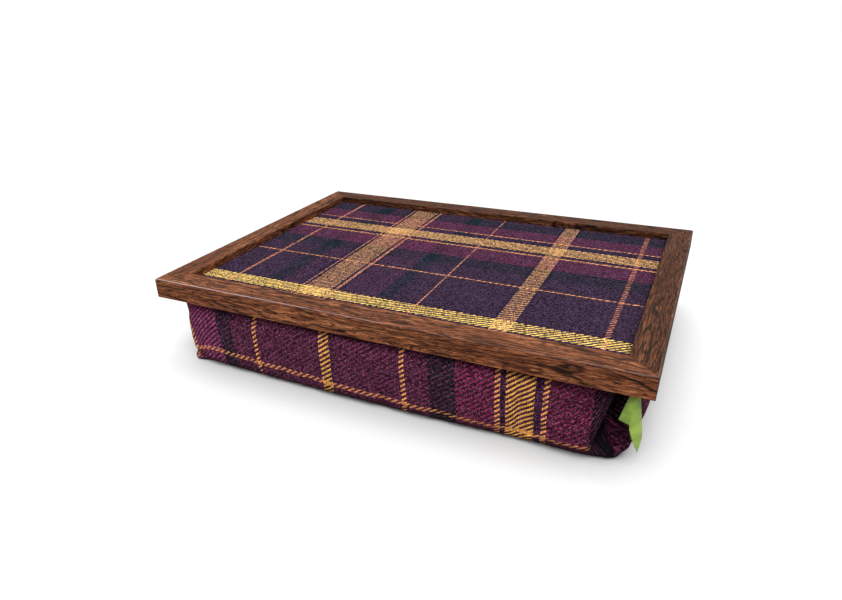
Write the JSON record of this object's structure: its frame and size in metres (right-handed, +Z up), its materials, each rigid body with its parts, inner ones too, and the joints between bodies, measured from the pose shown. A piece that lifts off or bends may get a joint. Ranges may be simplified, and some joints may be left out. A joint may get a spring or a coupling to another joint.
{
  "type": "cushioned lap tray",
  "caption": "Lap tray: mitred wooden frame round a recessed tartan-covered board, on a detachable zipped, bead-filled tartan cushion.",
  "frame": {"origin": "centre of the surface that the cushion stands on, under the middle of the tray", "axes": "+Z up, -Y the front, +X to the right as seen from the front, along the tray's long side"},
  "size_m": [0.44, 0.32, 0.084],
  "materials": {
    "dark_wood": "satin",
    "steel": "satin",
    "tartan": "matte",
    "fibreboard": "matte",
    "hardboard": "matte",
    "brassed_screw": "satin",
    "hook_tape": "matte",
    "loop_tape": "matte",
    "lining": "matte",
    "bag_cloth": "matte",
    "beads": "matte",
    "label": "satin",
    "zip_tape": "matte",
    "zip_teeth": "satin",
    "zip_metal": "satin"
  },
  "bodies": {
    "cushion": {"loop_strips": "loop_tape", "cushion_top_panel": "lining", "cushion_cover": "tartan", "inner_bag": "bag_cloth", "bead_fill": "beads", "side_label": "label", "zip_upper_tape": "zip_tape", "zip_lower_tape": "zip_tape", "zip_upper_teeth": "zip_teeth", "zip_lower_teeth": "zip_teeth", "zip_top_stops": "zip_metal", "zip_bottom_stop": "zip_metal"},
    "tray": {"front_rail": "dark_wood", "back_rail": "dark_wood", "left_rail": "dark_wood", "right_rail": "dark_wood", "corner_nails": "steel", "tartan_inlay": "tartan", "panel_board": "fibreboard", "backing_board": "hardboard", "backing_screws": "brassed_screw", "hook_strips": "hook_tape"},
    "zip_slider": {"zip_slider": "zip_metal"},
    "zip_pull": {"zip_pull": "zip_metal"}
  },
  "joints": [
    {"name": "tray_lift", "type": "slide", "parent": "cushion", "child": "tray", "axis": [0, 0, 1], "range_m": [0, 0.12]},
    {"name": "zip_slide", "type": "slide", "parent": "cushion", "child": "zip_slider", "axis": [-1, 0, 0], "range_m": [0, 0.287]},
    {"name": "pull_swing", "type": "hinge", "parent": "zip_slider", "child": "zip_pull", "pos_m": [0.1435, 0.154, 0.034], "axis": [0, 0, -1], "range_deg": [0, 180]}
  ]
}
